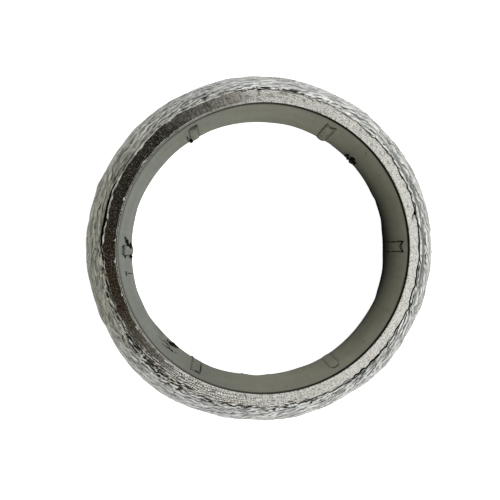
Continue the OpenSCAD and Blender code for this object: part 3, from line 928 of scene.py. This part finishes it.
# a crumb is a small ball stretched on three axes, its radius swollen and dented by sines of three directions
def makeCrumbs():
    c = graphiteCrumbs
    tilt = np.linspace(0.02, math.pi - 0.02, c["rings"])[:, None]
    turn = np.linspace(0, 2 * math.pi, c["around"], endpoint=False)[None, :]
    ball = np.stack([np.sin(tilt) * np.cos(turn), np.sin(tilt) * np.sin(turn), np.cos(tilt) + 0 * turn], -1)
    rng = np.random.default_rng(91)
    points, faces = [], []
    i, j = np.meshgrid(np.arange(c["rings"] - 1), np.arange(c["around"]), indexing="ij")
    nj = (j + 1) % c["around"]
    here, below = i * c["around"], (i + 1) * c["around"]
    quads = np.stack([here + j, below + j, below + nj, here + nj], -1).reshape(-1, 4)
    count = c["rings"] * c["around"]
    ends = [list(range(c["around"])), list(range(count - c["around"], count))[::-1]]
    for degree, level, sizeRound, sizeUp, sizeOut in c["places"]:
        waves = rng.normal(0, 3.0, (4, 3))
        phase = rng.uniform(0, 6.28, 4)
        swell = 1 + 0.2 * np.sin(ball @ waves.T + phase).sum(-1)
        lump = ball * swell[..., None]
        a = math.radians(degree)
        inward = np.array([-math.cos(a), -math.sin(a), 0])
        sideways = np.array([-math.sin(a), math.cos(a), 0])
        axes = np.array([inward * sizeOut, sideways * sizeRound, [0, 0, sizeUp]])
        placed = np.array([0, 0, level]) - inward * (ringSection["boreRadius"] - c["sunk"]) + lump @ axes
        placed[..., 2] = np.maximum(placed[..., 2], 0.01)
        start = len(points) * count
        points.append(placed.reshape(-1, 3) * mm)
        faces += (quads + start).tolist() + [[v + start for v in end] for end in ends]
    mesh = bpy.data.meshes.new("graphiteCrumbs")
    mesh.from_pydata(np.concatenate(points).tolist(), [], faces)
    mesh.polygons.foreach_set("use_smooth", np.ones(len(mesh.polygons), dtype=bool))
    mesh.update()
    piece = bpy.data.objects.new("graphiteCrumbs", mesh)
    bpy.context.scene.collection.objects.link(piece)
    print("graphiteCrumbs made:", len(faces), "faces")
    return piece


crumbPiece = makeCrumbs()


# overlapped plates: a saw wave of height, bent by noise; painted shade on the edge of each tooth, then a
# painted highlight rim
def addPlates(tree, lay, spacing, turns, warp, push, dark):
    angle, along = addPlace(tree, lay)
    bent = addProduct(tree, addGrain(tree, lay, warp), push)
    turned = addMath(tree, "MULTIPLY_ADD", angle, turns / (2 * math.pi), bent)
    phase = addMath(tree, "MULTIPLY_ADD", along, 1 / spacing, turned)
    tooth = addMath(tree, "FRACT", phase)
    return addRange(tree, tooth, dark, 0.6 * dark), addRange(tree, tooth, 2.8 * dark, 1.2 * dark)


# torn skin near the border: painted highlight on flakes and painted shade in thin gaps,
# as strong as the tear field
def addTears(tree, lay, colour, flakeHighlightColour):
    tear = addField(tree, "tear")
    flake = addMath(tree, "MULTIPLY_ADD", tear, 0.14, addGrain(tree, lay, (0.75, 0.75, 1.6), 2.0, 0.6))
    gap = addMath(tree, "MULTIPLY_ADD", tear, 0.14, addGrain(tree, lay, (0.6, 0.6, 1.1)))
    present = addRange(tree, tear, 0.08, 0.3)
    edge, rim = addPlates(tree, lay, 0.85, 31, (0.35, 0.35, 0.8), 1.6, 0.42)
    flakeShow = addProduct(tree, present, addRange(tree, flake, 0.62, 0.68, 0.0, 0.9))
    rimShow = addProduct(tree, rim, present, addRange(tree, gap, 0.52, 0.58, 0.0, 0.8))
    gapShow = addProduct(tree, edge, present, addRange(tree, gap, 0.50, 0.56))
    colour = addBlend(tree, flakeShow, colour, flakeHighlightColour)
    colour = addBlend(tree, rimShow, colour, flakeHighlightColour)
    return addBlend(tree, gapShow, colour, noseCore["creviceShadeColour"])


# pressed mesh finish: pale steel with specks and wire dots, a dark film by sector, partly painted shade,
# with rust brown grain, painted shade in the crack, and a painted highlight on the foot, its burrs and the
# lip
def coreFinish():
    c = noseCore
    finish, tree, shader = newFinish("pressedMeshFinish")
    lay = addField(tree, "lay", True)
    grain = addField(tree, "grain")
    filmAndPaintedLight = addField(tree, "filmAndPaintedLight")
    angle, along = addPlace(tree, lay)
    speckle = addGrain(tree, lay, (3.2, 3.2, 3.4), 3.0, 0.7)
    stria = addGrain(tree, lay, (3.0, 3.0, 0.40), 2.0, 0.65)
    cloud = addGrain(tree, lay, (0.5, 0.5, 0.7))
    # wire dots: one sine round the ring times one along the nose, each pushed about by noise
    dots = addField(tree, "dots")
    dotRound = addMath(tree, "MULTIPLY_ADD", angle, 400.0, addProduct(tree, cloud, 20.0))
    dotRound = addMath(tree, "SINE", dotRound)
    dotAlong = addMath(tree, "MULTIPLY_ADD", along, 7.4, addProduct(tree, cloud, 11.0))
    dotAlong = addMath(tree, "SINE", dotAlong)
    dot = addMath(tree, "MULTIPLY_ADD", dotAlong, 0.65, addRange(tree, speckle, 0.3, 0.7, -0.5, 0.5))
    dot = addProduct(tree, addMath(tree, "MULTIPLY_ADD", dotRound, 0.55, dot), dots)
    speckShow = addProduct(
        tree, addRange(tree, speckle, 0.53, 0.38), addMath(tree, "MULTIPLY_ADD", dots, 0.6, 0.5)
    )
    pale = addBlend(tree, speckShow, c["paleColour"], c["speckColour"])
    pale = addBlend(tree, addRange(tree, stria, 0.45, 0.68, 0.0, 0.4), pale, c["striaColour"])
    salt = addGrain(tree, lay, (3.6, 3.6, 3.6), 1.0, 0.6)
    pale = addBlend(tree, addRange(tree, salt, 0.47, 0.35, 0.0, 0.9), pale, c["saltColour"])
    # painted shade between the wires and a painted highlight on them
    pale = addBlend(tree, addRange(tree, dot, -0.15, -0.8, 0.0, 0.95), pale, c["dotShadeAndHighlightColours"][0])
    pale = addBlend(tree, addRange(tree, dot, 0.1, 0.7, 0.0, 0.9), pale, c["dotShadeAndHighlightColours"][1])
    striaShow = addRange(tree, stria, 0.48, 0.60, 0.0, 0.4)
    striaShow = addProduct(tree, striaShow, addMath(tree, "MULTIPLY_ADD", filmAndPaintedLight, -0.9, 1.1))
    grey = addBlend(tree, striaShow, c["greyFilmShadeColour"], c["greyStriaColour"])
    brown = addBlend(tree, addRange(tree, speckle, 0.52, 0.60, 0.0, 1.0), c["filmShadeColour"], c["rustColour"])
    rust = addField(tree, "rust")
    dark = addBlend(tree, rust, grey, brown)
    dark = addBlend(tree, addRange(tree, speckle, 0.47, 0.38, 0.0, 0.9), dark, c["filmShadeColour"])
    dark = addBlend(tree, addRange(tree, salt, 0.595, 0.64, 0.0, 0.95), dark, c["filmShadeSpeckColour"])
    thin = addBlend(tree, rust, c["thinFilmShadeColour"], c["oliveFilmShadeColour"])
    dash = addGrain(tree, lay, (0.9, 0.9, 1.8), 2.0, 0.6)
    mixed = addNode(tree, "ShaderNodeMix", {0: addRange(tree, rust, 0.12, 0.3), 2: stria, 3: dash})
    thin = addBlend(tree, addRange(tree, mixed.outputs[0], 0.44, 0.56, 0.0, 0.35), thin, pale)
    # dark film, partly painted shade of the side away from the lamp
    colour = addBlend(tree, addRange(tree, filmAndPaintedLight, 0.02, 0.4), pale, thin)
    colour = addBlend(tree, addRange(tree, filmAndPaintedLight, 0.3, 0.85), colour, dark)
    colour = addBlend(tree, addRange(tree, grain, 0.42, 0.1, 0.0, 0.6), colour, c["pitColour"])
    # painted highlight on the foot, its burrs and the lip
    colour = addBlend(tree, addRange(tree, filmAndPaintedLight, -0.05, -0.7), colour, c["edgeHighlightColour"])
    colour = addTears(tree, lay, colour, c["flakeHighlightColour"])
    # painted shade in the crack, holes and hollows
    colour = addBlend(tree, addField(tree, "creviceShade"), colour, c["creviceShadeColour"])
    tree.links.new(colour, shader.inputs["Base Color"])
    rough = addRange(tree, cloud, 0.3, 0.7, 0.40, 0.55)
    rough = addMath(tree, "ADD", rough, addRange(tree, filmAndPaintedLight, 0.0, 1.0, 0.0, 0.3))
    tree.links.new(rough, shader.inputs["Roughness"])
    tree.links.new(addRange(tree, filmAndPaintedLight, 0.0, 1.0, 0.2, 0.0), shader.inputs["Metallic"])
    shader.inputs["Specular IOR Level"].default_value = 0.04
    relief = addMath(tree, "MULTIPLY_ADD", stria, 0.6, addProduct(tree, dot, 0.35))
    relief = addMath(tree, "ADD", speckle, relief)
    bump = addNode(tree, "ShaderNodeBump", {"Strength": 0.8, "Distance": 0.00010, "Height": relief})
    tree.links.new(bump.outputs[0], shader.inputs["Normal"])
    return finish


# knitted wire: V shaped loops in columns round the ring, each row a band of constant height plus a folded
# angle, bent by noise
def addKnit(tree, lay):
    c = wrapSkin
    angle, along = addPlace(tree, lay)
    bend = addGrain(tree, lay, (0.30, 0.30, 0.8))
    push = addProduct(tree, bend, 2.4)
    column = addMath(tree, "MULTIPLY_ADD", angle, c["loopsRound"] / (2 * math.pi), push)
    fold = addMath(tree, "PINGPONG", column, 0.5)
    row = addMath(tree, "MULTIPLY_ADD", along, c["loopRows"], addProduct(tree, bend, 2.2))
    wire = addMath(tree, "PINGPONG", addMath(tree, "MULTIPLY_ADD", fold, 1.3, row), 0.5)
    patch = addRange(tree, addGrain(tree, lay, (0.22, 0.22, 0.7)), 0.36, 0.6, 0.25, 1.0)
    return wire, addProduct(tree, addField(tree, "knit"), patch)


# wrap finish: pale foil with painted light on the crests and painted shade in the hollows, streaks that run
# round the ring, painted shade in creases and slots
def wrapFinish():
    c = wrapSkin
    finish, tree, shader = newFinish("meshWrapFinish")
    lay = addField(tree, "lay", True)
    crest = addField(tree, "crest")
    sideLightTone = addField(tree, "sideLightTone")
    streak = addGrain(tree, lay, (0.20, 0.20, 1.9))
    thread = addGrain(tree, lay, (0.30, 0.30, 2.2), 1.0, 0.5)
    fleck = addGrain(tree, lay, (0.22, 0.22, 0.9))
    speck = addGrain(tree, lay, (0.5, 0.5, 1.6))
    dashes = addGrain(tree, lay, (0.42, 0.42, 1.3), 1.0, 0.5)
    shade = addRange(tree, streak, 0.38, 0.60, 0.2, 0.65)
    # painted light on the crests and painted shade in the hollows
    shade = addMath(tree, "ADD", shade, addRange(tree, crest, 0.15, 0.8, 0.0, 0.3))
    # brightness by side is painted light and shade
    shade = addProduct(tree, shade, sideLightTone)
    colour = addBlend(tree, addRange(tree, shade, 0.0, 0.85), c["greyColour"], c["paleColour"])
    colour = addBlend(tree, addRange(tree, thread, 0.54, 0.62, 0.0, 0.4), colour, c["threadColour"])
    colour = addBlend(tree, addRange(tree, thread, 0.45, 0.38, 0.0, 0.4), colour, c["paleColour"])
    # edges of overlapped plates, painted as shade under each edge and a highlight rim: long ones, fine ones,
    # and short slanted curls, each kept where a noise passes a level
    calm = addMath(tree, "MULTIPLY_ADD", addField(tree, "knit"), -0.25, 1.0)
    calm = addProduct(tree, addField(tree, "lines"), calm)
    longKeep = addProduct(tree, calm, addRange(tree, fleck, 0.49, 0.52))
    fineKeep = addProduct(tree, calm, addRange(tree, speck, 0.52, 0.55, 0.0, 0.95))
    curlKeep = addProduct(tree, addField(tree, "curls"), addRange(tree, speck, 0.48, 0.45))
    featherKeep = addProduct(tree, addField(tree, "feathers"), addRange(tree, dashes, 0.47, 0.51))
    line = 0.0
    for spacing, turns, warp, push, dark, overBand, keep in (
        (0.95, 11, (0.13, 0.13, 0.55), 2.0, 0.30, False, longKeep),
        (0.6, -23, (0.26, 0.26, 0.8), 1.4, 0.36, False, fineKeep),
        (0.75, 61, (0.45, 0.45, 0.9), 1.5, 0.38, False, curlKeep),
        (0.8, 52, (0.45, 0.45, 0.9), 1.3, 0.5, True, featherKeep),
    ):
        if overBand:
            # painted shade in the sunken band
            colour = addBlend(tree, addProduct(tree, addField(tree, "band"), 0.9), colour, c["bandShadeColour"])
        edge, rim = addPlates(tree, lay, spacing, turns, warp, push, dark)
        colour = addBlend(tree, addProduct(tree, rim, keep, 0.6), colour, c["rimHighlightColour"])
        edge = addProduct(tree, edge, keep)
        colour = addBlend(tree, edge, colour, c["edgeShadeColour"])
        line = addMath(tree, "MAXIMUM", edge, line)
    wire, show = addKnit(tree, lay)
    # painted shade between the knitted wires and a painted highlight on their tops
    knitGapShade = addProduct(tree, show, addRange(tree, wire, 0.22, 0.08, 0.0, 0.8))
    wireHighlight = addProduct(tree, show, addRange(tree, wire, 0.32, 0.45, 0.0, 0.45))
    colour = addBlend(tree, knitGapShade, colour, c["knitGapShadeColour"])
    colour = addBlend(tree, wireHighlight, colour, c["paleColour"])
    colour = addTears(tree, lay, colour, c["flakeHighlightColour"])
    tint = addBlend(tree, addField(tree, "tan"), (1, 1, 1, 1), c["leftTint"])
    colour = addBlend(tree, 1.0, colour, tint, "MULTIPLY")
    # painted shade in slots, creases and under the lifted edge
    colour = addBlend(tree, addField(tree, "creviceShade"), colour, c["creviceShadeColour"])
    tree.links.new(colour, shader.inputs["Base Color"])
    tree.links.new(addRange(tree, thread, 0.3, 0.7, 0.34, 0.56), shader.inputs["Roughness"])
    shader.inputs["Metallic"].default_value = 0.25
    shader.inputs["Specular IOR Level"].default_value = 0.1
    relief = addMath(tree, "MULTIPLY_ADD", line, -0.8, addProduct(tree, wire, show, 2.0))
    relief = addMath(tree, "ADD", addMath(tree, "ADD", thread, streak), relief)
    bump = addNode(tree, "ShaderNodeBump", {"Strength": 0.9, "Distance": 0.00012, "Height": relief})
    tree.links.new(bump.outputs[0], shader.inputs["Normal"])
    return finish


# soft edged spot on the bore: distance from its centre in its own turned and stretched frame, broken by noise
def addSmear(tree, lay, ragged, place):
    c = boreSleeve
    degree, level, halfRound, halfUp, lean, strength = place
    a = math.radians(degree)
    spot = addNode(
        tree, "ShaderNodeMapping",
        {
            "Vector": lay, "Location": (layRadius * math.cos(a), layRadius * math.sin(a), level),
            "Rotation": (math.radians(lean), 0, a),
            "Scale": (c["smearDeep"], halfRound * c["smearStretch"], halfUp),
        },
        vector_type="TEXTURE"
    )
    far = addNode(tree, "ShaderNodeVectorMath", {0: spot.outputs[0]}, operation="LENGTH").outputs["Value"]
    return addRange(tree, addMath(tree, "ADD", far, ragged), 1.06, 0.94, 0.0, strength)


# sleeve finish: satin olive grey steel with faint drawn lines up the bore, painted shade on the root lines,
# rib ends, rims and back edge, smears and a few specks
def sleeveFinish():
    c = boreSleeve
    finish, tree, shader = newFinish("sleeveSteelFinish")
    lay = addField(tree, "lay", True)
    cloud = addGrain(tree, lay, (0.12, 0.12, 0.2))
    drawn = addGrain(tree, lay, (1.1, 1.1, 0.05))
    speck = addGrain(tree, lay, (1.3, 1.3, 1.3), 0.0, 0.5)
    ragged = addMath(tree, "MULTIPLY_ADD", addGrain(tree, lay, (1.5, 1.5, 1.1), 2.0, 0.6), 2.6, -1.4)
    colour = addBlend(tree, addField(tree, "warm"), c["coolColour"], c["warmColour"])
    shade = addMath(tree, "MULTIPLY_ADD", drawn, c["drawnShare"], addRange(tree, cloud, 0.3, 0.7, 0.84, 0.98))
    shade = addProduct(tree, shade, addField(tree, "shade"))
    grey = addNode(tree, "ShaderNodeCombineXYZ", {0: shade, 1: shade, 2: shade}).outputs[0]
    colour = addNode(tree, "ShaderNodeVectorMath", {0: colour, 1: grey}, operation="MULTIPLY").outputs[0]
    colour = addBlend(tree, addRange(tree, speck, 0.83, 0.88, 0.0, 0.7), colour, c["darkColour"])
    # painted shade of the rib lines, rims and back edge, together with smears and specks
    shadeAndDirt = addField(tree, "shadeAndMarks")
    for place in c["smears"]:
        shadeAndDirt = addMath(tree, "MAXIMUM", shadeAndDirt, addSmear(tree, lay, ragged, place))
    colour = addBlend(tree, shadeAndDirt, colour, c["darkColour"])
    tree.links.new(colour, shader.inputs["Base Color"])
    tree.links.new(addRange(tree, cloud, 0.3, 0.7, 0.5, 0.62), shader.inputs["Roughness"])
    tree.links.new(addMath(tree, "MULTIPLY_ADD", shadeAndDirt, -0.12, 0.12), shader.inputs["Metallic"])
    shader.inputs["Specular IOR Level"].default_value = 0.0
    bump = addNode(tree, "ShaderNodeBump", {"Strength": 0.2, "Distance": 0.00003, "Height": drawn})
    tree.links.new(bump.outputs[0], shader.inputs["Normal"])
    return finish


# crumb finish: black graphite with a grey sparkle on its grains
def crumbFinish():
    c = graphiteCrumbs
    finish, tree, shader = newFinish("graphiteFinish")
    place = addNode(tree, "ShaderNodeTexCoord").outputs["Object"]
    settings = {"Vector": place, "Scale": 6000.0, "Detail": 2.0, "Roughness": 0.5}
    grain = addNode(tree, "ShaderNodeTexNoise", settings).outputs["Fac"]
    colour = addBlend(tree, addRange(tree, grain, 0.55, 0.7), c["colour"], c["sparkleColour"])
    tree.links.new(colour, shader.inputs["Base Color"])
    tree.links.new(addRange(tree, grain, 0.4, 0.7, 0.8, 0.5), shader.inputs["Roughness"])
    shader.inputs["Specular IOR Level"].default_value = 0.02
    bump = addNode(tree, "ShaderNodeBump", {"Strength": 0.6, "Distance": 0.00006, "Height": grain})
    tree.links.new(bump.outputs[0], shader.inputs["Normal"])
    return finish


crumbPiece.data.materials.append(crumbFinish())
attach(crumbPiece, "root")
for piece, finish, node, slotName in (
    (corePiece, coreFinish(), "mesh_core", "pressed_mesh"),
    (wrapPiece, wrapFinish(), "outer_wrap", "mesh_wrap"),
    (sleevePiece, sleeveFinish(), "inner_sleeve", "sleeve_steel"),
):
    piece.data.materials.append(finish)
    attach(piece, "root")
    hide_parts(node)
print("finishes set")

# studio: white floor, one large soft lamp from the right, an even pale world
studio = {
    "floorSize": 3.0,
    "floorDrop": 0.00002,
    "floorGlow": 0.9,
    "keyPlace": (0.36, -0.02, 0.50),
    "keyLong": 1.4,
    "keyWide": 0.4,
    "keyPower": 4.2,
    "worldLevel": 0.48,
    "worldDim": 0.25,  # share of the world's light that comes from the dim left side
}


# 1 for rays that show the background: from the camera, from a gloss or through glass
def addSeen(tree):
    path = addNode(tree, "ShaderNodeLightPath")
    bent = addMath(tree, "MAXIMUM", path.outputs["Is Glossy Ray"], path.outputs["Is Transmission Ray"])
    return addMath(tree, "MAXIMUM", path.outputs["Is Camera Ray"], bent)


def makeStudio():
    c = studio
    half = c["floorSize"] / 2
    mesh = bpy.data.meshes.new("studioFloor")
    corners = ((-half, -half), (half, -half), (half, half), (-half, half))
    mesh.from_pydata([(x, y, -c["floorDrop"]) for x, y in corners], [], [(0, 1, 2, 3)])
    floor = bpy.data.objects.new("studioFloor", mesh)
    bpy.context.scene.collection.objects.link(floor)
    finish = bpy.data.materials.new("whiteFloor")
    finish.use_nodes = True
    tree = finish.node_tree
    tree.nodes.clear()
    paint = addNode(tree, "ShaderNodeBsdfDiffuse", {"Color": (0.8, 0.8, 0.8, 1)})
    strength = addProduct(tree, addSeen(tree), c["floorGlow"])
    glow = addNode(tree, "ShaderNodeEmission", {"Color": (1, 1, 1, 1), "Strength": strength})
    both = addNode(tree, "ShaderNodeAddShader", {0: paint.outputs[0], 1: glow.outputs[0]})
    addNode(tree, "ShaderNodeOutputMaterial", {"Surface": both.outputs[0]})
    floor.data.materials.append(finish)
    lamp = bpy.data.lights.new("keyLamp", "AREA")
    lamp.shape = "RECTANGLE"
    lamp.size = c["keyLong"]
    lamp.size_y = c["keyWide"]
    lamp.energy = c["keyPower"]
    key = bpy.data.objects.new("keyLamp", lamp)
    key.location = c["keyPlace"]
    key.rotation_euler = (-Vector(c["keyPlace"])).to_track_quat("-Z", "Y").to_euler()
    bpy.context.scene.collection.objects.link(key)
    world = bpy.data.worlds.new("paleWorld")
    world.use_nodes = True
    worldTree = world.node_tree
    direction = addNode(worldTree, "ShaderNodeTexCoord").outputs["Generated"]
    toward = addNode(worldTree, "ShaderNodeSeparateXYZ", {0: direction})
    dim = c["worldLevel"] * c["worldDim"]
    level = addRange(worldTree, toward.outputs[0], -0.75, 0.0, dim, c["worldLevel"])
    strength = addMath(worldTree, "MAXIMUM", level, addSeen(worldTree))
    background = worldTree.nodes["Background"]
    worldTree.links.new(strength, background.inputs["Strength"])
    background.inputs["Color"].default_value = (1, 1, 1, 1)
    bpy.context.scene.world = world


makeStudio()
bpy.context.scene.view_settings.view_transform = "Standard"

# camera found from the four circles of the photograph: focal length in pixels, place in mm, turn in degrees
photoCamera = {
    "focal": 543.97,
    "imageSize": 500.0,
    "place": (-8.4745, 0.0, 116.58),
    "turn": 3.155,
    "dropPixels": 1.2,  # pixels by which the aim is lowered
    "ringTurn": 0.7,  # degrees by which the photograph shows the ribs turned
    "sensor": 36.0,
    "clipStart": 0.005,  # metres
}


def makeCamera():
    c = photoCamera
    turn = math.radians(c["turn"])
    drop = math.atan(c["dropPixels"] / c["focal"])
    ahead = Vector((math.sin(turn) * math.cos(drop), -math.sin(drop), -math.cos(turn) * math.cos(drop)))
    ahead = ahead.normalized()
    lean = math.radians(c["ringTurn"])
    up = Vector((math.sin(lean), math.cos(lean), 0.0))
    right = ahead.cross(up).normalized()
    up = right.cross(ahead).normalized()
    data = bpy.data.cameras.new("photoCamera")
    data.sensor_width = c["sensor"]
    data.lens = c["focal"] / c["imageSize"] * c["sensor"]
    data.clip_start = c["clipStart"]
    camera = bpy.data.objects.new("photoCamera", data)
    place = Vector(c["place"]) * mm
    turned = Matrix((right, up, -ahead)).transposed().to_4x4()
    camera.matrix_world = Matrix.Translation(place) @ turned
    bpy.context.scene.collection.objects.link(camera)
    bpy.context.scene.camera = camera


makeCamera()
print("camera and studio ready")
bpy.context.view_layer.update()
